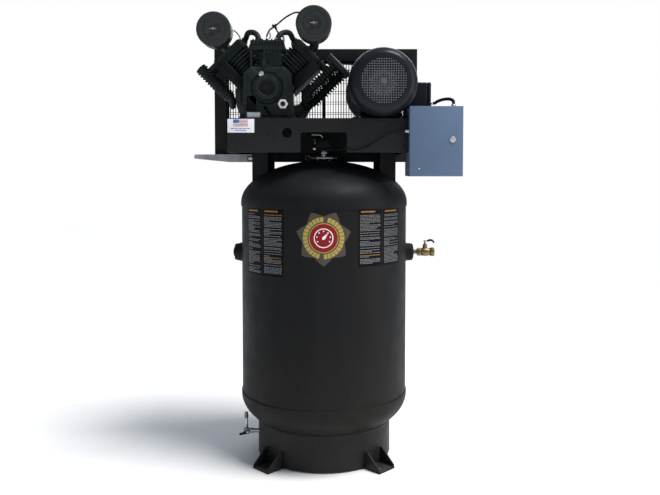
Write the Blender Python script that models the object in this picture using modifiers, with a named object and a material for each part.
"""A two-stage W-type air compressor on a 120 gallon vertical tank. Metres, +Z up, front towards -Y.

Every place is measured from the tank's axis, which is the empty "tank_axis"; it stands a little right
of the origin, so that the origin is under the middle of the whole machine.
"""

import math

import bmesh
import bpy
from mathutils import Matrix, Vector

GAP = 0.0003  # between pieces that touch
SHEET = 0.003

# Tank
HEAD_RADIUS = 0.381
SHELL_RADIUS = 0.377
TANK_WALL = 0.006
HEAD_DEPTH = 0.190
LOW_SEAM = 0.279
HIGH_SEAM = 1.154
LAP = 0.012
TANK_STEPS = 32
END_PORT_RADIUS = 0.014
SIDE_PORT_HEIGHT = 0.922
SIDE_PORT_REACH = 0.412
COUPLING_RADIUS = 0.039
NIPPLE_RADIUS = 0.0107
PLUG_RADIUS = 0.024

# Base
SKIRT_RADIUS = 0.305
SKIRT_WALL = 0.005
FOOT_PLATE = 0.006
FOOT_REACH = 0.388
FOOT_WIDTH = 0.100
GUSSET_HEIGHT = 0.070
FEET = {"front_right": -45, "front_left": -135, "rear_left": 135, "rear_right": 45}
DRAIN_HEIGHT = 0.099
DRAIN_Y = -0.050
DRAIN_PIPE_RADIUS = 0.0095
DRAIN_REACH = 0.372
DRAIN_RISER_X = -0.358

# Platform and its legs
DECK_TOP = 1.520
DECK_BOTTOM = 1.3745
DECK_LEFT, DECK_RIGHT = -0.408, 0.3587
DECK_FRONT, DECK_BACK = -0.280, 0.130
DECK_SHEET = 0.005
NOTCH_HALF_WIDTH = 0.098
NOTCH_TOP = 1.460
LEG_OUTER = 0.323
LEG_HALF_DEPTH = 0.080
LEG_FRONT_FLANGE, LEG_REAR_FLANGE = 0.070, 0.090
LEG_SHEET = 0.006
RAIL_LEFT, RAIL_RIGHT = -0.622, 0.440
RAIL_FRONT, RAIL_BACK = 0.090, 0.170
RAIL_THICKNESS = 0.036

# Pump. A bank's axis leans by BANK_ANGLE, and "reach" is a distance along it from the crankshaft's axis.
PUMP_X = -0.245
CRANK_HEIGHT = 1.655
CASE_HALF_WIDTH = 0.105
CASE_FRONT, CASE_BACK = -0.200, 0.060
CASE_TOP = 0.093
CASE_CAVITY_RADIUS = 0.088
BANK_ANGLE = math.radians(45)
LOW_STAGE_Y = -0.040
LOW_STAGE_BORE = 0.050
LOW_STAGE_BARREL = 0.060
LOW_STAGE_FIN = 0.078
LOW_STAGE_START, LOW_STAGE_END = 0.128, 0.2137
LOW_STAGE_FINS = 5
LOW_STAGE_HEAD_TOP = 0.262
LOW_STAGE_HEAD_HALF = 0.075
HIGH_STAGE_Y = -0.142
HIGH_STAGE_BORE = 0.036
HIGH_STAGE_BARREL = 0.046
HIGH_STAGE_FIN = 0.058
HIGH_STAGE_END = 0.165
HIGH_STAGE_HEAD_TOP = 0.212
HIGH_STAGE_FINS = 3
BARREL_STEPS = 14
HIGH_STAGE_HEAD_FRONT, HIGH_STAGE_HEAD_BACK = -0.198, -0.098
HIGH_STAGE_HEAD_HALF = 0.078
THROW = 0.030
SHAFT_RADIUS = 0.020
SHAFT_BACK = 0.245

# Intake filters: centre (x, z), front face and back face (y)
FILTER_RADIUS = 0.0745
FILTERS = {
    "left": ((-0.4697, 1.901), -0.240, -0.125),
    "right": ((-0.0408, 1.9033), -0.350, -0.235),
}
LID_THICKNESS = 0.012
STUD_RADIUS = 0.003

# Intercoolers: each leg as (outward from the bank's axis, y, bottom, top)
COOLER_LEGS = {
    "left": ((0.146, -0.085, 0.108, 0.288), (0.146, -0.015, 0.108, 0.270)),
    "right": ((0.130, -0.085, 0.104, 0.288), (0.172, -0.020, 0.100, 0.288)),
}
COOLER_FIN_RADIUS = {"left": 0.0235, "right": 0.0260}
COOLER_CORE_RADIUS = 0.0160
COOLER_FINS = 6
COOLER_FIN_THICKNESS = 0.007
COOLER_BEND_RADIUS = 0.012
COOLER_BRANCH_RADIUS = 0.0115
COOLER_BRANCH_HEIGHTS = (0.250, 0.244)
COOLER_CAP_TOP = 0.310

# Belt drive
WHEEL_Y = 0.210
WHEEL_RADIUS = 0.185
FLYWHEEL_RIM_INNER = 0.158
FLYWHEEL_WINDOW_RADIUS = 0.040
FLYWHEEL_WINDOW_REACH = 0.096
FLYWHEEL_WINDOWS = 5
SHEAVE_RADIUS = 0.1455
SHEAVE_RIM_INNER = 0.118
GROOVE_DEPTH = 0.011
GROOVE_HALF_WIDTH = 0.018
RIM_HALF_WIDTH = 0.025
HUB_HALF_WIDTH = 0.030
BELT_HALF_WIDTH = 0.017

# Motor
MOTOR_X = 0.2513
MOTOR_HEIGHT = 1.6716
MOTOR_FRAME_RADIUS = 0.122
MOTOR_SHAFT_RADIUS = 0.0175
FAN_COVER_RADIUS = 0.147
FAN_COVER_FRONT = 0.330
FAN_COVER_FACE_RADIUS = 0.100
STATOR_BORE = 0.072

# Belt guard
GUARD_LEFT, GUARD_RIGHT = -0.526, 0.446
GUARD_FRONT, GUARD_BACK = 0.150, 0.275
GUARD_TOP = 1.879
GUARD_FLANGE = 0.055

# Starter enclosure
BOX_LEFT, BOX_RIGHT = 0.359, 0.582
BOX_FRONT, BOX_BACK = -0.320, -0.140
BOX_BOTTOM, BOX_TOP = 1.274, 1.567
LOCK_X, LOCK_HEIGHT = 0.538, 1.428

TANK_X = -(RAIL_LEFT + BOX_RIGHT) / 2

TOWARDS_FRONT = Matrix.Rotation(math.radians(90), 4, "X")  # local +Z becomes world -Y
TOWARDS_RIGHT = Matrix.Rotation(math.radians(90), 4, "Y")  # local +Z becomes world +X
UPRIGHT = Matrix.Identity(4)

PAINTS = {
    "black_powder": ((0.018, 0.018, 0.019), 0.42, 0.0),
    "black_casting": ((0.020, 0.026, 0.025), 0.55, 0.0),
    "motor_gloss": ((0.022, 0.023, 0.027), 0.28, 0.0),
    "box_grey": ((0.28, 0.33, 0.42), 0.45, 0.0),
    "rail_grey": ((0.36, 0.36, 0.34), 0.50, 0.3),
    "zinc": ((0.62, 0.63, 0.65), 0.35, 1.0),
    "brass": ((0.62, 0.50, 0.28), 0.35, 1.0),
    "steel": ((0.50, 0.50, 0.51), 0.35, 1.0),
    "cast_iron": ((0.14, 0.14, 0.14), 0.60, 0.8),
    "aluminium": ((0.70, 0.70, 0.71), 0.40, 1.0),
    "rubber": ((0.02, 0.02, 0.02), 0.75, 0.0),
    "white_plastic": ((0.85, 0.85, 0.83), 0.35, 0.0),
    "conduit": ((0.05, 0.055, 0.065), 0.45, 0.0),
}


# ---------------------------------------------------------------- helpers


def clear_scene():
    for obj in list(bpy.data.objects):
        bpy.data.objects.remove(obj)


def collection(name, hidden=False):
    made = bpy.data.collections.new(name)
    made.hide_render = hidden
    bpy.context.scene.collection.children.link(made)
    return made


clear_scene()
PARTS = collection("tank_compressor")
CUTTERS = collection("cutters", hidden=True)
ROOT = bpy.data.objects.new("tank_axis", None)
ROOT.location = (TANK_X, 0, 0)
PARTS.objects.link(ROOT)


def finish(obj, paint):
    """The node's own material, and smooth shading on its round faces."""
    colour, roughness, metallic = PAINTS[paint]
    made = bpy.data.materials.new(obj.name)
    made.use_nodes = True
    shader = made.node_tree.nodes["Principled BSDF"]
    shader.inputs["Base Color"].default_value = (*colour, 1)
    shader.inputs["Roughness"].default_value = roughness
    shader.inputs["Metallic"].default_value = metallic
    obj.data.materials.append(made)


def add(name, data, matrix, paint):
    """A piece of the machine, or a cutter where there is no paint."""
    obj = bpy.data.objects.new(name, data)
    (PARTS if paint else CUTTERS).objects.link(obj)
    obj.parent = ROOT
    obj.matrix_local = matrix
    if paint:
        finish(obj, paint)
    else:
        obj.hide_render = True
        obj.display_type = "WIRE"
    return obj


def at(x, y, z):
    return Matrix.Translation((x, y, z))


def mesh_from(bm, name):
    bmesh.ops.recalc_face_normals(bm, faces=bm.faces)
    mesh = bpy.data.meshes.new(name)
    bm.to_mesh(mesh)
    bm.free()
    return mesh


def box(name, low, high, paint=None, matrix=UPRIGHT):
    """A box between two corners, its origin at its centre."""
    low, high = Vector(low), Vector(high)
    bm = bmesh.new()
    bmesh.ops.create_cube(bm, size=1)
    bmesh.ops.scale(bm, vec=high - low, verts=bm.verts)
    return add(name, mesh_from(bm, name), matrix @ Matrix.Translation((low + high) / 2), paint)


def rod(name, radius, start, end, paint=None, matrix=UPRIGHT, segments=20, end_radius=None):
    """A cylinder or a cone between two heights on the matrix's Z axis."""
    bm = bmesh.new()
    bmesh.ops.create_cone(
        bm,
        cap_ends=True,
        segments=segments,
        radius1=radius,
        radius2=radius if end_radius is None else end_radius,
        depth=end - start,
    )
    mesh = mesh_from(bm, name)
    mesh.shade_smooth()
    mesh.set_sharp_from_angle(angle=math.radians(40))
    return add(name, mesh, matrix @ at(0, 0, (start + end) / 2), paint)


def turned(name, profile, paint=None, matrix=UPRIGHT, steps=24, closed=False):
    """A profile of (radius, height), down its outer side, turned round the matrix's Z axis."""
    mesh = bpy.data.meshes.new(name)
    edges = [(i, i + 1) for i in range(len(profile) - 1)]
    if closed:
        edges.append((len(profile) - 1, 0))
    mesh.from_pydata([(r, 0, z) for r, z in profile], edges, [])
    obj = add(name, mesh, matrix, paint)
    screw = obj.modifiers.new("turn", "SCREW")
    screw.steps = screw.render_steps = steps
    screw.use_merge_vertices = True
    screw.merge_threshold = 0.00001
    screw.use_smooth_shade = True
    return obj


def ellipse(radius, depth, seam, first, steps):
    """Points of a tank head from its seam towards radius `first`; depth is negative below the seam."""
    last = math.acos(first / radius)
    angles = [last * i / steps for i in range(steps + 1)]
    return [(radius * math.cos(a), seam + depth * math.sin(a)) for a in angles]


def plate(name, outlines, low, high, paint=None, matrix=UPRIGHT):
    """Flat outlines in the matrix's XY plane, as thick as from low to high along its Z."""
    curve = bpy.data.curves.new(name, "CURVE")
    curve.dimensions = "2D"
    curve.fill_mode = "BOTH"
    curve.extrude = (high - low) / 2
    for outline in outlines:
        spline = curve.splines.new("POLY")
        spline.points.add(len(outline) - 1)
        for point, (x, y) in zip(spline.points, outline):
            point.co = (x, y, 0, 1)
        spline.use_cyclic_u = True
    return as_mesh(add(name, curve, matrix @ at(0, 0, (low + high) / 2), paint))


def tube(name, route, radius, paint=None, matrix=UPRIGHT, resolution=2):
    curve = bpy.data.curves.new(name, "CURVE")
    curve.dimensions = "3D"
    curve.bevel_depth = radius
    curve.bevel_resolution = resolution
    curve.use_fill_caps = True
    spline = curve.splines.new("POLY")
    spline.points.add(len(route) - 1)
    for point, place in zip(spline.points, route):
        point.co = (*place, 1)
    return as_mesh(add(name, curve, matrix, paint))


def as_mesh(obj):
    """The curve object as a closed mesh object of the same name and place."""
    bpy.context.view_layer.update()
    graph = bpy.context.evaluated_depsgraph_get()
    mesh = bpy.data.meshes.new_from_object(obj.evaluated_get(graph))
    bm = bmesh.new()
    bm.from_mesh(mesh)
    bmesh.ops.remove_doubles(bm, verts=bm.verts, dist=0.000001)
    bmesh.ops.recalc_face_normals(bm, faces=bm.faces)
    bm.to_mesh(mesh)
    bm.free()
    name, home, matrix = obj.name, obj.users_collection[0], obj.matrix_local.copy()
    curve = obj.data
    bpy.data.objects.remove(obj)
    bpy.data.curves.remove(curve)
    made = bpy.data.objects.new(name, mesh)
    home.objects.link(made)
    made.parent = ROOT
    made.matrix_local = matrix
    if home == CUTTERS:
        made.hide_render = True
        made.display_type = "WIRE"
    return made


def smooth(points, per_span=4):
    """Points along a smooth curve through the given ones (Catmull-Rom)."""
    points = [Vector(p) for p in points]
    padded = [2 * points[0] - points[1], *points, 2 * points[-1] - points[-2]]
    route = []
    for a, b, c, d in zip(padded, padded[1:], padded[2:], padded[3:]):
        for i in range(per_span):
            t = i / per_span
            bend = 2 * a - 5 * b + 4 * c - d
            route.append((2 * b + (c - a) * t + bend * t * t + (3 * b - a - 3 * c + d) * t**3) / 2)
    return [*route, points[-1]]


def pipe(points, per_span=4):
    """A smooth route whose first and last spans are straight, so that its ends meet flat faces squarely."""
    route = smooth(points, per_span)
    return [route[0], *route[per_span : len(route) - per_span], route[-1]]


def boolean(target, other, operation):
    modifier = target.modifiers.new(other.name, "BOOLEAN")
    modifier.operation = operation
    modifier.object = other
    modifier.solver = "EXACT"
    if other.name in PARTS.objects:
        PARTS.objects.unlink(other)
        CUTTERS.objects.link(other)
        other.hide_render = True
    return target


def cut(target, *others):
    for other in others:
        boolean(target, other, "DIFFERENCE")
    return target


def join(target, *others):
    for other in others:
        boolean(target, other, "UNION")
    return target


def arc_angles(first, last, count):
    return [first + (last - first) * i / (count - 1) for i in range(count)]


def arc(centre, radius, first, last, count, outside=False):
    """Points of an arc in the plane; `outside` moves them out until the chords stay outside the arc."""
    if outside:
        radius /= math.cos((last - first) / (count - 1) / 2)
    angles = arc_angles(first, last, count)
    return [(centre[0] + radius * math.cos(a), centre[1] + radius * math.sin(a)) for a in angles]


# ---------------------------------------------------------------- tank and base


def dome(name, clearance):
    """The solid inside the tank's outer top, a little larger, to shape what stands on it."""
    top = ellipse(HEAD_RADIUS + clearance, HEAD_DEPTH + clearance, HIGH_SEAM, 0, 8)
    profile = [*reversed(top), (HEAD_RADIUS + clearance, LOW_SEAM), (0, LOW_SEAM)]
    return turned(name, profile, steps=TANK_STEPS)


def make_tank():
    inner = HEAD_RADIUS - TANK_WALL - (HEAD_RADIUS - SHELL_RADIUS)
    inner_depth = HEAD_DEPTH - TANK_WALL
    step = 0.002
    profile = [
        *reversed(ellipse(HEAD_RADIUS, HEAD_DEPTH, HIGH_SEAM, END_PORT_RADIUS, 5)),
        (HEAD_RADIUS, HIGH_SEAM - LAP),
        (SHELL_RADIUS, HIGH_SEAM - LAP - step),
        (SHELL_RADIUS, LOW_SEAM + LAP + step),
        (HEAD_RADIUS, LOW_SEAM + LAP),
        *ellipse(HEAD_RADIUS, -HEAD_DEPTH, LOW_SEAM, END_PORT_RADIUS, 5),
        *reversed(ellipse(inner, -inner_depth, LOW_SEAM, END_PORT_RADIUS, 3)),
        *ellipse(inner, inner_depth, HIGH_SEAM, END_PORT_RADIUS, 3),
    ]
    tank = turned("tank_shell", profile, "black_powder", steps=TANK_STEPS, closed=True)
    place = at(0, 0, SIDE_PORT_HEIGHT) @ TOWARDS_RIGHT
    start = inner - TANK_WALL
    join(
        tank,
        rod("right_coupling", COUPLING_RADIUS, start, SIDE_PORT_REACH, matrix=place),
        rod("left_coupling", COUPLING_RADIUS, -SIDE_PORT_REACH, -start, matrix=place),
    )
    cut(
        tank,
        rod("right_bore", NIPPLE_RADIUS + GAP, 0.3, 0.5, matrix=place, segments=16),
        rod("left_bore", PLUG_RADIUS + GAP, -0.5, -0.3, matrix=place),
    )
    rod("side_plug", PLUG_RADIUS, -0.419, -0.362, "black_powder", matrix=place)


def make_skirt():
    low, high = FOOT_PLATE + 0.0005, 0.1612
    inside = SKIRT_RADIUS - SKIRT_WALL
    profile = [(inside, high), (SKIRT_RADIUS, high), (SKIRT_RADIUS, low), (inside, low)]
    skirt = turned("base_skirt", profile, "black_powder", steps=TANK_STEPS, closed=True)
    hole = at(0, DRAIN_Y, DRAIN_HEIGHT) @ TOWARDS_RIGHT
    cut(skirt, rod("drain_hole", DRAIN_PIPE_RADIUS + 0.003, -0.35, -0.25, matrix=hole, segments=12))


def make_foot(name, degrees):
    turn = Matrix.Rotation(math.radians(degrees), 4, "Z")
    half = FOOT_WIDTH / 2
    foot = box(name, (0.283, -half, 0), (FOOT_REACH, half, FOOT_PLATE), "black_powder", turn)
    start = SKIRT_RADIUS + 0.001
    low = FOOT_PLATE - 0.001
    outline = [
        (start, low),
        (FOOT_REACH - 0.002, low),
        (FOOT_REACH - 0.002, low + 0.010),
        (start + 0.012, low + GUSSET_HEIGHT),
        (start, low + GUSSET_HEIGHT),
    ]
    for side, y in (("a", -half), ("b", half - 0.006)):
        place = turn @ TOWARDS_FRONT
        join(foot, plate(f"{name}_gusset_{side}", [outline], -y - 0.006, -y, matrix=place))
    cut(foot, rod(f"{name}_hole", 0.009, -0.01, 0.02, matrix=turn @ at(0.350, 0, 0), segments=12))


def make_drain():
    y, z = DRAIN_Y, DRAIN_HEIGHT
    route = [
        (0, 0, 0.100),
        (0, 0, 0.078),
        (-0.012, -0.002, 0.062),
        (-0.040, -0.008, 0.058),
        (-0.130, -0.030, 0.072),
        (-0.235, y, 0.096),
        (-0.290, y, z),
        (-DRAIN_REACH, y, z),
    ]
    line = tube("drain_line", pipe(route, 2), DRAIN_PIPE_RADIUS, "zinc")
    upright = at(DRAIN_RISER_X, y, 0)
    valve = at(0, y, z) @ TOWARDS_RIGHT
    join(
        line,
        rod("drain_riser", 0.0065, z, 0.172, matrix=upright, segments=12),
        rod("drain_fitting", 0.0105, 0.158, 0.185, matrix=upright, segments=6),
        rod("drain_body", 0.0135, -DRAIN_REACH, -0.340, matrix=valve, segments=8),
        rod("drain_stem", 0.005, -y, 0.070, matrix=at(-0.350, 0, z) @ TOWARDS_FRONT, segments=10),
    )
    tip = [(0.010, -0.008), (0.010, 0.006), (-0.034, -0.004), (-0.036, -0.014)]
    pivot = at(-0.350, -0.0703, z) @ TOWARDS_FRONT
    plate("drain_handle", [tip], 0, 0.004, "rubber", pivot)


# ---------------------------------------------------------------- outlet valve and manifold


def make_outlet():
    along = at(0, 0, SIDE_PORT_HEIGHT) @ TOWARDS_RIGHT
    start, end, stem_x = 0.430, 0.5104, 0.468
    body = turned(
        "outlet_valve_body",
        [
            (0.0122, end),
            (0.0205, end),
            (0.0205, end - 0.020),
            (0.0180, end - 0.024),
            (0.0205, start + 0.028),
            (0.0190, start + 0.018),
            (0.0190, start),
            (NIPPLE_RADIUS, start),
            (NIPPLE_RADIUS, 0.372),
            (0.0070, 0.372),
            (0.0070, start + 0.018),
            (0.0122, start + 0.022),
        ],
        "brass",
        along,
        steps=16,
        closed=True,
    )
    upright = at(stem_x, 0, SIDE_PORT_HEIGHT)
    join(body, rod("outlet_bonnet", 0.0085, 0.016, 0.031, matrix=upright, segments=8))
    cut(body, rod("outlet_stem_hole", 0.0050, 0, 0.040, matrix=upright, segments=12))

    bm = bmesh.new()
    bmesh.ops.create_uvsphere(bm, u_segments=12, v_segments=8, radius=0.0115)
    ball = add("outlet_valve_ball", mesh_from(bm, "ball"), upright, "steel")
    join(ball, rod("outlet_stem", 0.0046, 0.008, 0.046, matrix=upright, segments=10))
    cut(ball, rod("outlet_ball_bore", 0.0060, -0.02, 0.02, matrix=upright @ TOWARDS_RIGHT, segments=10))

    side = upright @ TOWARDS_FRONT
    shape = [(-0.008, 0.0463), (-0.008, 0.0510), (0.026, 0.0560), (0.040, 0.0470), (0.038, 0.0440)]
    shape += [(0.024, 0.0520), (0.008, 0.0463)]
    plate("outlet_lever", [shape], -0.008, 0.008, "steel", side)


def make_manifold():
    height, bottom, top = 1.355, 1.320, 1.3878
    upright, along = UPRIGHT, at(0, 0, height) @ TOWARDS_RIGHT
    cross = rod("manifold_cross", 0.0110, bottom, top, "zinc", upright, 12)
    join(
        cross,
        rod("manifold_arm", 0.0100, -0.035, 0.045, matrix=along, segments=12),
        rod("relief_valve", 0.0120, -0.060, -0.030, matrix=along, segments=6),
        rod("manifold_plug", 0.0115, 0.042, 0.060, matrix=along, segments=6),
    )
    cut(cross, rod("relief_bore", 0.0023, -0.070, -0.045, matrix=along, segments=10))
    place = at(-0.0745, 0, height) @ TOWARDS_FRONT
    loop, wire = 0.0105, 0.0014
    section = [(loop + wire * math.sin(a), wire * math.cos(a)) for a in arc_angles(0, 2 * math.pi, 7)[:-1]]
    pull = turned("relief_ring", section, "steel", place, steps=14, closed=True)
    join(pull, rod("relief_stem", 0.0019, -0.0655, -0.0475, matrix=along, segments=8))

    base = top + GAP + 0.0007
    switch = box("pressure_switch", (-0.0375, -0.035, base), (0.0375, 0.035, base + 0.056), "rubber")
    bevel(switch, 0.004)
    pivot = at(-0.0378, 0, 1.425) @ TOWARDS_RIGHT
    lever = rod("switch_lever", 0.0075, -0.005, 0, "zinc", pivot, 10)
    join(lever, tube("switch_lever_arm", [(-0.0405, 0, 1.425), (-0.0405, -0.012, 1.436),
                                          (-0.0450, -0.030, 1.438)], 0.0024, resolution=1))


def bevel(obj, width, segments=1):
    modifier = obj.modifiers.new("edges", "BEVEL")
    modifier.width = width
    modifier.segments = segments
    modifier.limit_method = "ANGLE"
    return obj


# ---------------------------------------------------------------- platform


def make_platform():
    deck = box(
        "platform",
        (DECK_LEFT, DECK_FRONT, DECK_BOTTOM),
        (DECK_RIGHT, DECK_BACK, DECK_TOP),
        "black_powder",
    )
    inside = DECK_SHEET
    cavity = box(
        "platform_cavity",
        (DECK_LEFT + inside, DECK_FRONT + inside, DECK_BOTTOM - 0.02),
        (DECK_RIGHT - inside, DECK_BACK - inside, DECK_TOP - inside),
    )
    notch = box(
        "platform_notch",
        (-NOTCH_HALF_WIDTH, DECK_FRONT - 0.01, DECK_BOTTOM - 0.01),
        (NOTCH_HALF_WIDTH, DECK_FRONT + 0.01, NOTCH_TOP),
    )
    cut(deck, cavity, notch)
    holes = {
        "knockout": (-0.1545, 1.4577, 0.0210, 16),
        "hole_a": (-0.2760, 1.4535, 0.0032, 8),
        "hole_b": (-0.2377, 1.4535, 0.0032, 8),
        "hole_c": (-0.2078, 1.4385, 0.0028, 8),
        "hole_d": (0.2808, 1.4919, 0.0040, 8),
    }
    for name, (x, z, radius, segments) in holes.items():
        place = at(x, 0, z) @ TOWARDS_FRONT
        cut(deck, rod(name, radius, 0.27, 0.29, matrix=place, segments=segments))


def make_leg(name, side):
    """A channel from the tank's shoulder up into the platform, its web on the outer side."""
    web, outer = LEG_OUTER - LEG_SHEET, LEG_OUTER
    front, back = -LEG_HALF_DEPTH, LEG_HALF_DEPTH
    plan = [
        (outer, front),
        (outer, back),
        (outer - LEG_REAR_FLANGE, back),
        (outer - LEG_REAR_FLANGE, back - LEG_SHEET),
        (web, back - LEG_SHEET),
        (web, front + LEG_SHEET),
        (outer - LEG_FRONT_FLANGE, front + LEG_SHEET),
        (outer - LEG_FRONT_FLANGE, front),
    ]
    plan = [(side * x, y) for x, y in plan]
    leg = plate(name, [plan], 1.180, DECK_TOP - DECK_SHEET - GAP, "black_powder")
    cut(leg, dome(f"{name}_dome", 0.0006))


def make_rail():
    """The flat bar under the belt guard, thinned and rounded at its left end."""
    top = DECK_BOTTOM - GAP
    bottom = top - RAIL_THICKNESS
    side = [
        (RAIL_RIGHT, bottom),
        (RAIL_RIGHT, top),
        (RAIL_LEFT + 0.010, top),
        (RAIL_LEFT + 0.002, top - 0.004),
        (RAIL_LEFT, top - 0.012),
        (RAIL_LEFT + 0.006, top - 0.020),
        (RAIL_LEFT + 0.170, bottom),
    ]
    rail = plate("guard_support_rail", [side], -RAIL_BACK, -RAIL_FRONT, "rail_grey", TOWARDS_FRONT)
    middle, half = (RAIL_FRONT + RAIL_BACK) / 2, (RAIL_BACK - RAIL_FRONT) / 2
    round_end = arc((RAIL_LEFT + half, middle), half, math.radians(90), math.radians(270), 9)
    plan = [*round_end, (RAIL_RIGHT + 0.01, RAIL_FRONT), (RAIL_RIGHT + 0.01, RAIL_BACK)]
    boolean(rail, plate("rail_plan", [plan], bottom - 0.01, top + 0.01), "INTERSECT")


# ---------------------------------------------------------------- pump


def bank(side):
    """The frame of a cylinder bank: its Z runs out from the crankshaft; side is -1, 0 or 1."""
    lean = Matrix.Rotation(side * BANK_ANGLE, 4, "Y")
    return at(PUMP_X, LOW_STAGE_Y if side else HIGH_STAGE_Y, CRANK_HEIGHT) @ lean


def make_crankcase():
    half, low, top = CASE_HALF_WIDTH, DECK_TOP + GAP - CRANK_HEIGHT, CASE_TOP
    front_view = at(PUMP_X, 0, CRANK_HEIGHT) @ TOWARDS_FRONT
    corner = 0.062
    outline = [
        (-half - 0.018, low),
        (half + 0.018, low),
        (half + 0.018, low + 0.014),
        (half, low + 0.018),
        (half, corner),
        (half - (top - corner), top),
        (-half + (top - corner), top),
        (-half, corner),
        (-half, low + 0.018),
        (-half - 0.018, low + 0.014),
    ]
    case = plate("crankcase", [outline], -CASE_BACK, -CASE_FRONT, "black_casting", front_view)
    for name, side in (("left", -1), ("right", 1)):
        pad = rod(f"case_pad_{name}", 0.062, 0.060, LOW_STAGE_START - GAP, matrix=bank(side), segments=24)
        join(case, pad)
    wall = 0.015
    cavity = rod(
        "case_cavity",
        CASE_CAVITY_RADIUS,
        -CASE_BACK + wall,
        -CASE_FRONT - wall,
        matrix=front_view,
        segments=24,
    )
    cut(
        case,
        cavity,
        rod("case_front_bore", 0.0458, 0.150, 0.210, matrix=front_view),
        rod("case_back_bore", SHAFT_RADIUS + 0.0015, -0.070, 0.0, matrix=front_view),
    )
    for side, radius in ((-1, LOW_STAGE_BORE), (1, LOW_STAGE_BORE), (0, HIGH_STAGE_BORE)):
        cut(case, rod("case_bore", radius + 0.003, 0.050, 0.140, matrix=bank(side)))

    front = -CASE_FRONT + GAP
    cover = [(0, front + 0.028), (0.040, front + 0.028), (0.044, front + 0.024), (0.044, front + 0.012)]
    cover += [(0.064, front + 0.010), (0.064, front), (0.0445, front), (0.0445, front - 0.012)]
    pocket = SHAFT_RADIUS + 0.001
    cover += [(pocket, front - 0.012), (pocket, front + 0.010), (0, front + 0.010)]
    turned("bearing_cover", cover, "black_casting", front_view, steps=24)
    glass = at(-0.1762, 0, 1.5856) @ TOWARDS_FRONT
    rod("sight_glass", 0.0225, front, front + 0.012, "white_plastic", glass, 6)


def make_crankshaft():
    """Local Z points forward: journals, three round webs and two opposite crankpins."""
    place = at(PUMP_X, 0, CRANK_HEIGHT) @ TOWARDS_FRONT
    web, pin = 0.055, 0.016
    shaft = rod("crankshaft", SHAFT_RADIUS, -SHAFT_BACK, -0.010, "steel", place, 16)
    up, down = place @ at(0, THROW, 0), place @ at(0, -THROW, 0)
    join(
        shaft,
        rod("rear_web", web, -0.012, 0.000, matrix=place, segments=16),
        rod("low_stage_pin", pin, -0.002, 0.092, matrix=up, segments=12),
        rod("middle_web", web, 0.090, 0.120, matrix=place, segments=16),
        rod("high_stage_pin", pin, 0.118, 0.164, matrix=down, segments=12),
        rod("front_web", web, 0.162, 0.174, matrix=place, segments=16),
        rod("front_journal", SHAFT_RADIUS, 0.172, 0.208, matrix=place, segments=16),
    )


def make_piston(name, side, bore, crown, height, rod_end):
    """A hollow piston at mid-stroke with its rod's upper part."""
    radius = bore - GAP
    inner, thick = radius - 0.006, 0.008
    profile = [
        (0, crown),
        (radius, crown),
        (radius, crown - height),
        (inner, crown - height),
        (inner, crown - thick),
        (0.009, crown - thick - 0.001),
        (0.009, rod_end),
        (0, rod_end),
    ]
    turned(name, profile, "aluminium", bank(side), steps=BARREL_STEPS)


def fins(start, end, count, barrel, tip, thickness):
    """Outer profile of a finned barrel, from its top to its bottom."""
    points = [(barrel, end)]
    pitch = (end - start) / count
    for i in reversed(range(count)):
        middle = start + pitch * (i + 0.5)
        high, low = middle + thickness / 2, middle - thickness / 2
        points += [(barrel, high), (tip, high), (tip, low), (barrel, low)]
    return [*points, (barrel, start)]


def make_cylinders():
    for name, side in (("left", -1), ("right", 1)):
        start, end = LOW_STAGE_START, LOW_STAGE_END
        outer = fins(start + 0.007, end - 0.006, LOW_STAGE_FINS, LOW_STAGE_BARREL, LOW_STAGE_FIN, 0.005)
        profile = [(LOW_STAGE_BORE, end), (0.070, end), (0.070, end - 0.004), *outer]
        profile += [(0.066, start + 0.004), (0.066, start), (LOW_STAGE_BORE, start)]
        turned(f"low_stage_cylinder_{name}", profile, "black_casting", bank(side), BARREL_STEPS, closed=True)
    start, end = CASE_TOP + GAP, HIGH_STAGE_END
    outer = fins(start + 0.010, end - 0.004, HIGH_STAGE_FINS, HIGH_STAGE_BARREL, HIGH_STAGE_FIN, 0.005)
    profile = [(HIGH_STAGE_BORE, end), *outer]
    profile += [(0.056, start + 0.008), (0.056, start), (HIGH_STAGE_BORE, start)]
    turned("high_stage_cylinder", profile, "black_casting", bank(0), BARREL_STEPS, closed=True)


def make_heads():
    half = LOW_STAGE_HEAD_HALF
    for name, side in (("left", -1), ("right", 1)):
        low, high = (-half, -half, LOW_STAGE_END + GAP), (half, half, LOW_STAGE_HEAD_TOP)
        head = box(f"low_stage_head_{name}", low, high, "black_casting", bank(side))
        bevel(head, 0.006)
    head = box(
        "high_stage_head",
        (PUMP_X - HIGH_STAGE_HEAD_HALF, HIGH_STAGE_HEAD_FRONT, CRANK_HEIGHT + HIGH_STAGE_END + GAP),
        (PUMP_X + HIGH_STAGE_HEAD_HALF, HIGH_STAGE_HEAD_BACK, CRANK_HEIGHT + HIGH_STAGE_HEAD_TOP),
        "black_casting",
    )
    bevel(head, 0.005)


def make_deflector(name, side):
    """Sheet over the outer front of a bank's fins; in the bank's frame X points outward for side 1."""
    start, end, inner, outer = 0.064, 0.232, 0.035, 0.092
    front = -0.125 - LOW_STAGE_Y
    face = [(inner, 0.117), (inner, end), (outer, end), (outer, start)]
    face = [(side * x, z) for x, z in face]
    shape = plate(name, [face], -front, -front + SHEET, "black_casting", bank(side) @ TOWARDS_FRONT)
    x = sorted((side * (outer - SHEET), side * outer))
    low, high = (x[0], front - SHEET, start + 0.004), (x[1], 0.070, end)
    join(shape, box(f"{name}_side", low, high, matrix=bank(side)))


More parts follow.
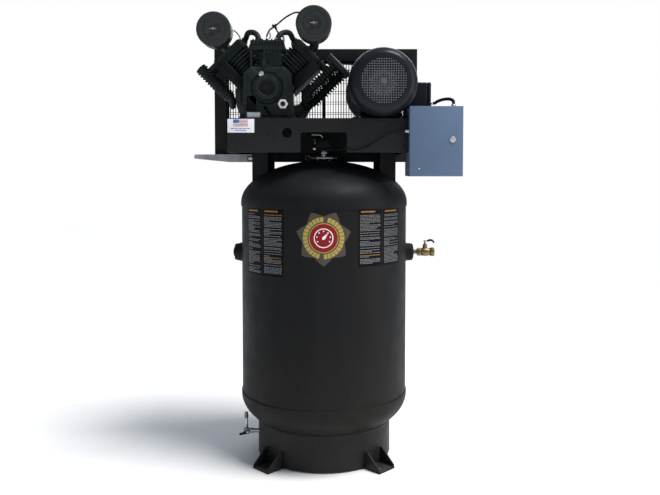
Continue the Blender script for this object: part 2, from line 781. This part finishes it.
def make_filter(name, side):
    (x, z), front, back = FILTERS[name]
    place = at(x, 0, z) @ TOWARDS_FRONT
    depth_front, depth_back = -front - LID_THICKNESS, -back
    wall = 0.003
    stud = -front + 0.016
    profile = [
        (0, stud),
        (STUD_RADIUS, stud),
        (STUD_RADIUS, depth_back + wall),
        (FILTER_RADIUS - wall, depth_back + wall),
        (FILTER_RADIUS - wall, depth_front - GAP),
        (FILTER_RADIUS, depth_front - GAP),
        (FILTER_RADIUS, depth_back + 0.010),
        (FILTER_RADIUS - 0.010, depth_back),
        (0, depth_back),
    ]
    can = turned(f"filter_can_{name}", profile, "black_powder", place, steps=20)
    base = bank(side) @ Vector((0, 0, LOW_STAGE_HEAD_TOP + GAP))
    rise = bank(side) @ Vector((0, 0, LOW_STAGE_HEAD_TOP + 0.020))
    route = [base, rise, (x, LOW_STAGE_Y - 0.016, z), (x, LOW_STAGE_Y - 0.050, z), (x, back - 0.0015, z)]
    join(can, tube(f"intake_elbow_{name}", pipe(route, 3), 0.021, resolution=2))

    hole, front_face = STUD_RADIUS + GAP, -front
    lid = [
        (hole, front_face - 0.004),
        (0.026, front_face - 0.004),
        (0.034, front_face),
        (FILTER_RADIUS - 0.005, front_face),
        (FILTER_RADIUS, front_face - 0.004),
        (FILTER_RADIUS, depth_front),
        (hole, depth_front),
    ]
    turned(f"filter_lid_{name}", lid, "black_powder", place, steps=20, closed=True)
    seat = front_face - 0.004 + GAP
    nut = turned(
        f"wing_nut_{name}",
        [(hole, seat + 0.008), (0.006, seat + 0.008), (0.008, seat), (hole, seat)],
        "zinc",
        place,
        steps=12,
        closed=True,
    )
    for tag, flip in (("a", 1), ("b", -1)):
        wing = [(flip * 0.0050, seat + 0.001), (flip * 0.0160, seat + 0.010), (flip * 0.0140, seat + 0.015)]
        wing += [(flip * 0.0045, seat + 0.007)]
        side_view = at(x, 0, z) @ TOWARDS_FRONT @ TOWARDS_FRONT
        join(nut, plate(f"wing_{name}_{tag}", [wing], -0.0012, 0.0012, matrix=side_view))


def finned_leg(name, place, low, high, fin_radius, paint=None):
    outer = fins(low, high, COOLER_FINS, COOLER_CORE_RADIUS, fin_radius, COOLER_FIN_THICKNESS)
    return turned(name, [(0, high), *outer, (0, low)], paint, place, steps=8)


def make_intercooler(name, side):
    """Two finned legs beside a bank, joined by a bend at the bottom and fed from the head's side."""
    place = bank(side)
    (out_a, y_a, low_a, high_a), (out_b, y_b, low_b, high_b) = COOLER_LEGS[name]
    fin_radius = COOLER_FIN_RADIUS[name]
    leg_a = place @ at(side * out_a, y_a - LOW_STAGE_Y, 0)
    leg_b = place @ at(side * out_b, y_b - LOW_STAGE_Y, 0)
    cooler = finned_leg(f"intercooler_{name}", leg_a, low_a, high_a, fin_radius, "black_casting")
    back_leg = finned_leg(f"intercooler_{name}_back", leg_b, low_b, high_b, fin_radius)
    under_a, under_b = leg_a @ Vector((0, 0, low_a - 0.012)), leg_b @ Vector((0, 0, low_b - 0.012))
    middle = (under_a + under_b) / 2 + place.to_3x3() @ Vector((side * 0.020, 0, -0.024))
    start, end = leg_a @ Vector((0, 0, low_a + 0.010)), leg_b @ Vector((0, 0, low_b + 0.010))
    route = smooth([start, under_a, middle, under_b, end], 3)
    join(cooler, back_leg, tube(f"intercooler_{name}_bend", route, COOLER_BEND_RADIUS))
    for tag, outward, y, height in (
        ("a", out_a, y_a, COOLER_BRANCH_HEIGHTS[0]),
        ("b", out_b, y_b, COOLER_BRANCH_HEIGHTS[1]),
    ):
        branch = place @ at(0, y - LOW_STAGE_Y, height) @ TOWARDS_RIGHT
        ends = sorted((side * (LOW_STAGE_HEAD_HALF + GAP), side * outward))
        pipe_name = f"intercooler_{name}_branch_{tag}"
        join(cooler, rod(pipe_name, COOLER_BRANCH_RADIUS, *ends, matrix=branch, segments=10))
    if high_a == high_b:
        x = sorted((side * (LOW_STAGE_HEAD_HALF + 0.004), side * (out_b + fin_radius)))
        front, back = y_a - LOW_STAGE_Y - fin_radius, y_b - LOW_STAGE_Y + fin_radius
        cap_low, cap_high = (x[0], front, high_a - 0.002), (x[1], back, COOLER_CAP_TOP)
        join(cooler, box(f"intercooler_{name}_cap", cap_low, cap_high, matrix=place))


def make_crossover(name, side):
    """The arch from a low stage head's inner side over to the top of the high stage head."""
    start = bank(side) @ Vector((-side * (LOW_STAGE_HEAD_HALF + GAP), -0.020, 0.238))
    inward = bank(side).to_3x3() @ Vector((-side, 0, 0))
    end = Vector((PUMP_X + side * 0.042, -0.130, CRANK_HEIGHT + HIGH_STAGE_HEAD_TOP + GAP))
    apex = Vector((PUMP_X + side * 0.080, -0.096, CRANK_HEIGHT + 0.257))
    route = [start, start + 0.010 * inward, apex, end + Vector((0, 0, 0.022)), end]
    tube(f"crossover_{name}", pipe(route, 3), 0.0125, "black_casting", resolution=1)


def make_unloader():
    """Thin tubes from the high stage head to a tee, and on to the right-hand filter."""
    top = CRANK_HEIGHT + HIGH_STAGE_HEAD_TOP + GAP
    tee = Vector((-0.2142, -0.160, 1.925))
    (x, z), front, _ = FILTERS["right"]
    reach = FILTER_RADIUS + 0.0030
    angle = math.radians(50)
    landing = Vector((x - reach * math.cos(angle), -0.262, z + reach * math.sin(angle) + 0.002))
    first = [
        (-0.2490, -0.160, top),
        (-0.2480, -0.160, top + 0.018),
        (-0.2350, -0.160, top + 0.044),
        tee,
        (-0.1650, -0.190, 1.958),
        (-0.1200, -0.235, 1.9700),
        landing,
    ]
    second = [tee, (-0.1960, -0.160, 1.893), (-0.1750, -0.160, top + 0.012), (-0.1750, -0.160, top)]
    tubes = tube("unloader_tubes", pipe(first, 2), 0.0030, "conduit", resolution=1)
    low, high = tee - Vector((0.007, 0.007, 0.006)), tee + Vector((0.007, 0.007, 0.006))
    join(tubes, tube("unloader_branch", pipe(second, 2), 0.0030, resolution=1), box("tee", low, high))


# ---------------------------------------------------------------- belt drive


def wheel(name, radius, bore, rim_inner, paint, place, steps):
    groove, half = radius - GROOVE_DEPTH, GROOVE_HALF_WIDTH
    rim, hub = RIM_HALF_WIDTH, HUB_HALF_WIDTH
    web, hub_radius = 0.006, bore + 0.016
    outer = [(radius, rim), (radius, half), (groove, half), (groove, -half), (radius, -half), (radius, -rim)]
    profile = [(bore, hub), (hub_radius, hub), (hub_radius, web), (rim_inner, web), (rim_inner, rim), *outer]
    profile += [(rim_inner, -rim), (rim_inner, -web), (hub_radius, -web), (hub_radius, -hub), (bore, -hub)]
    return turned(name, profile, paint, place, steps=steps, closed=True)


def make_belt_drive():
    crank = at(PUMP_X, WHEEL_Y, CRANK_HEIGHT) @ TOWARDS_FRONT
    flywheel = wheel("flywheel", WHEEL_RADIUS, SHAFT_RADIUS + GAP, FLYWHEEL_RIM_INNER, "cast_iron", crank, 24)
    for i in range(FLYWHEEL_WINDOWS):
        turn = Matrix.Rotation(2 * math.pi * i / FLYWHEEL_WINDOWS, 4, "Z")
        place = crank @ turn @ at(FLYWHEEL_WINDOW_REACH, 0, 0)
        window = rod(f"flywheel_window_{i}", FLYWHEEL_WINDOW_RADIUS, -0.02, 0.02, matrix=place, segments=12)
        cut(flywheel, window)
    motor = at(MOTOR_X, WHEEL_Y, MOTOR_HEIGHT) @ TOWARDS_FRONT
    wheel("motor_sheave", SHEAVE_RADIUS, MOTOR_SHAFT_RADIUS + GAP, SHEAVE_RIM_INNER, "cast_iron", motor, 16)

    first, second = Vector((PUMP_X, CRANK_HEIGHT)), Vector((MOTOR_X, MOTOR_HEIGHT))
    line = second - first
    heading = math.atan2(line.y, line.x)
    loops = []
    for lift in (0.0103, 0.0003):
        big, small = WHEEL_RADIUS - GROOVE_DEPTH + lift, SHEAVE_RADIUS - GROOVE_DEPTH + lift
        spread = math.acos((big - small) / line.length)
        around_big = arc(first, big, heading + spread, heading + 2 * math.pi - spread, 21, True)
        around_small = arc(second, small, heading - spread, heading + spread, 11, True)
        loops.append([*around_big, *around_small])
    place = at(0, WHEEL_Y, 0) @ TOWARDS_FRONT
    plate("drive_belts", loops, -BELT_HALF_WIDTH, BELT_HALF_WIDTH, "rubber", place)


def make_guard():
    low = (GUARD_LEFT, GUARD_FRONT, DECK_BOTTOM)
    high = (GUARD_RIGHT, GUARD_BACK, GUARD_TOP)
    guard = box("belt_guard", low, high, "black_powder")
    cavity = box("guard_cavity", [v + SHEET for v in low], [v - SHEET for v in high])
    window = box(
        "guard_window",
        (GUARD_LEFT + GUARD_FLANGE, GUARD_FRONT - 0.01, DECK_BOTTOM + GUARD_FLANGE),
        (GUARD_RIGHT - GUARD_FLANGE, GUARD_FRONT + 0.01, GUARD_TOP - GUARD_FLANGE),
    )
    cut(guard, cavity, window)
    lap = GUARD_FLANGE - 0.020
    mesh = box(
        "guard_front_mesh",
        (GUARD_LEFT + lap, GUARD_FRONT + SHEET + GAP, DECK_BOTTOM + lap),
        (GUARD_RIGHT - lap, GUARD_FRONT + 2 * SHEET, GUARD_TOP - lap),
        "black_powder",
    )
    for name, x, z, radius in (
        ("crank_opening", PUMP_X, CRANK_HEIGHT, 0.032),
        ("motor_opening", MOTOR_X, MOTOR_HEIGHT, 0.030),
    ):
        cut(mesh, rod(name, radius, -0.20, -0.10, matrix=at(x, 0, z) @ TOWARDS_FRONT, segments=16))


# ---------------------------------------------------------------- motor


def make_motor():
    """Local Z points forward from the motor's axis at y = 0."""
    place = at(MOTOR_X, 0, MOTOR_HEIGHT) @ TOWARDS_FRONT
    outer, hole = MOTOR_FRAME_RADIUS, MOTOR_SHAFT_RADIUS + 0.0012
    profile = [
        (hole, 0.200),
        (0.088, 0.200),
        (outer, 0.182),
        (outer, -0.060),
        (0.088, -0.085),
        (hole, -0.085),
        (hole, -0.072),
        (STATOR_BORE, -0.072),
        (STATOR_BORE, 0.186),
        (hole, 0.186),
    ]
    frame = turned("motor_frame", profile, "motor_gloss", place, steps=24, closed=True)
    low = DECK_TOP + GAP
    join(
        frame,
        box("motor_base", (MOTOR_X - 0.104, -0.150, low), (MOTOR_X + 0.104, 0.050, low + 0.020)),
        box("motor_pedestal", (MOTOR_X - 0.075, -0.130, low + 0.010), (MOTOR_X + 0.075, 0.030, low + 0.060)),
    )
    for i in range(4):
        turn = place @ Matrix.Rotation(math.radians(45 + 90 * i), 4, "Z")
        reach = (FAN_COVER_RADIUS - 0.0042) * math.cos(math.pi / 24)
        lug_low, lug_high = (outer - 0.010, -0.010, 0.154), (reach, 0.010, 0.172)
        join(frame, box(f"fan_cover_lug_{i}", lug_low, lug_high, matrix=turn))
    rotor = turned(
        "motor_rotor",
        [
            (0, 0.290),
            (0.016, 0.290),
            (0.016, 0.280),
            (0.034, 0.280),
            (0.034, 0.232),
            (MOTOR_SHAFT_RADIUS, 0.232),
            (MOTOR_SHAFT_RADIUS, 0.170),
            (STATOR_BORE - 0.0008, 0.170),
            (STATOR_BORE - 0.0008, -0.055),
            (MOTOR_SHAFT_RADIUS, -0.055),
            (MOTOR_SHAFT_RADIUS, -SHAFT_BACK),
            (0, -SHAFT_BACK),
        ],
        "steel",
        place,
        steps=16,
    )
    blades = 6
    for i in range(blades):
        turn = place @ Matrix.Rotation(2 * math.pi * i / blades, 4, "Z")
        join(rotor, box(f"fan_blade_{i}", (0.028, -0.002, 0.236), (0.108, 0.002, 0.276), matrix=turn))

    front, radius, face, wall = FAN_COVER_FRONT, FAN_COVER_RADIUS, FAN_COVER_FACE_RADIUS, 0.0025
    bowl = [(radius, 0.150)]
    bowl += [
        (face + (radius - face) * math.cos(a), front - 0.058 + 0.058 * math.sin(a))
        for a in (math.radians(22.5 * i) for i in range(5))
    ]
    inside = [(r - wall, z - wall) if r > face else (r, z - wall) for r, z in bowl[1:]]
    cover = [(0, front), *reversed(bowl), (radius - wall, 0.150), *inside, (0, front - wall)]
    turned("fan_cover", cover, "motor_gloss", place, steps=24)

    terminal = box("junction_box", (0.3765, -0.140, 1.5725), (0.4735, -0.020, 1.688), "motor_gloss")
    bevel(terminal, 0.012, 2)
    along = at(0, -0.080, 1.600) @ TOWARDS_RIGHT
    join(terminal, rod("motor_gland", 0.0110, 0.465, 0.4885, matrix=along, segments=8))


# ---------------------------------------------------------------- starter enclosure and wiring


def make_enclosure():
    low, high = (BOX_LEFT, BOX_FRONT, BOX_BOTTOM), (BOX_RIGHT, BOX_BACK, BOX_TOP)
    case = box("enclosure_box", low, high, "box_grey")
    inside_low = (BOX_LEFT + SHEET, BOX_FRONT - 0.02, BOX_BOTTOM + SHEET)
    inside_high = (BOX_RIGHT - SHEET, BOX_BACK - SHEET, BOX_TOP - SHEET)
    cut(case, box("enclosure_cavity", inside_low, inside_high))
    upright, across = at(0.556, -0.230, 0), at(0, -0.300, 1.464) @ TOWARDS_RIGHT
    join(
        case,
        rod("top_gland", 0.0110, BOX_TOP - 0.002, BOX_TOP + 0.015, matrix=upright, segments=8),
        rod("side_gland", 0.0085, 0.341, BOX_LEFT + 0.001, matrix=across, segments=8),
    )
    hinge = at(BOX_LEFT + 0.0005, BOX_FRONT - GAP, 0)
    door = box(
        "enclosure_door",
        (0, -SHEET, BOX_BOTTOM + 0.0005),
        (BOX_RIGHT - BOX_LEFT - 0.001, 0, BOX_TOP - 0.0005),
        "box_grey",
        hinge,
    )
    place = at(LOCK_X, 0, LOCK_HEIGHT) @ TOWARDS_FRONT
    cut(door, rod("lock_hole", 0.0105, 0.30, 0.34, matrix=place, segments=16))
    lock = rod("door_lock", 0.0100, 0.302, 0.3235, "zinc", place, 16)
    join(
        lock,
        rod("lock_face", 0.0130, 0.3236, 0.3280, matrix=place, segments=16),
        rod("lock_core", 0.0080, 0.3100, 0.3270, matrix=place, segments=12),
        box("lock_cam", (-0.008, -0.008, 0.302), (0.030, 0.008, 0.305), matrix=place),
    )


def curve(start, first, second, end, count):
    """Points along a cubic curve from start to end, drawn towards the two points between."""
    a, b, c, d = Vector(start), Vector(first), Vector(second), Vector(end)
    steps = [i / (count - 1) for i in range(count)]
    return [(1 - t) ** 3 * a + 3 * t * (1 - t) ** 2 * b + 3 * t * t * (1 - t) * c + t**3 * d for t in steps]


def make_wiring():
    start, end = (0.498, -0.080, 1.600), (0.556, -0.230, 1.592)
    arch = curve(start, (0.538, -0.095, 1.602), (0.556, -0.225, 1.640), end, 7)
    motor_lead = [(0.4889, *start[1:]), *arch, (*end[:2], 1.5824)]
    tube("motor_conduit", pipe(motor_lead, 2), 0.0065, "conduit", resolution=1)
    control = [
        (0.3406, -0.300, 1.464),
        (0.3300, -0.300, 1.464),
        (0.3050, -0.299, 1.461),
        (0.2780, -0.297, 1.4545),
        (0.2400, -0.294, 1.4320),
        (0.1865, -0.291, 1.3990),
        (0.1500, -0.289, 1.3870),
        (0.1180, -0.287, 1.3850),
        (0.1000, -0.286, 1.3880),
        (0.0840, -0.274, 1.3900),
        (0.0800, -0.200, 1.3940),
        (0.0720, -0.090, 1.3990),
        (0.0600, -0.020, 1.4040),
        (0.0480, 0.000, 1.406),
        (0.0379, 0.000, 1.406),
    ]
    tube("control_cable", pipe(control, 2), 0.0035, "conduit", resolution=1)


def main():
    make_tank()
    make_skirt()
    for name, degrees in FEET.items():
        make_foot(f"foot_{name}", degrees)
    make_drain()
    make_outlet()
    make_manifold()
    make_platform()
    make_leg("leg_left", -1)
    make_leg("leg_right", 1)
    make_rail()
    make_crankcase()
    make_crankshaft()
    make_piston("low_stage_piston_left", -1, LOW_STAGE_BORE, 0.181, 0.050, 0.096)
    make_piston("low_stage_piston_right", 1, LOW_STAGE_BORE, 0.181, 0.050, 0.096)
    make_piston("high_stage_piston", 0, HIGH_STAGE_BORE, 0.134, 0.040, 0.094)
    make_cylinders()
    make_heads()
    for name, side in (("left", -1), ("right", 1)):
        make_deflector(f"air_deflector_{name}", side)
        make_filter(name, side)
        make_crossover(name, side)
        make_intercooler(name, side)
    make_unloader()
    make_belt_drive()
    make_guard()
    make_motor()
    make_enclosure()
    make_wiring()


main()
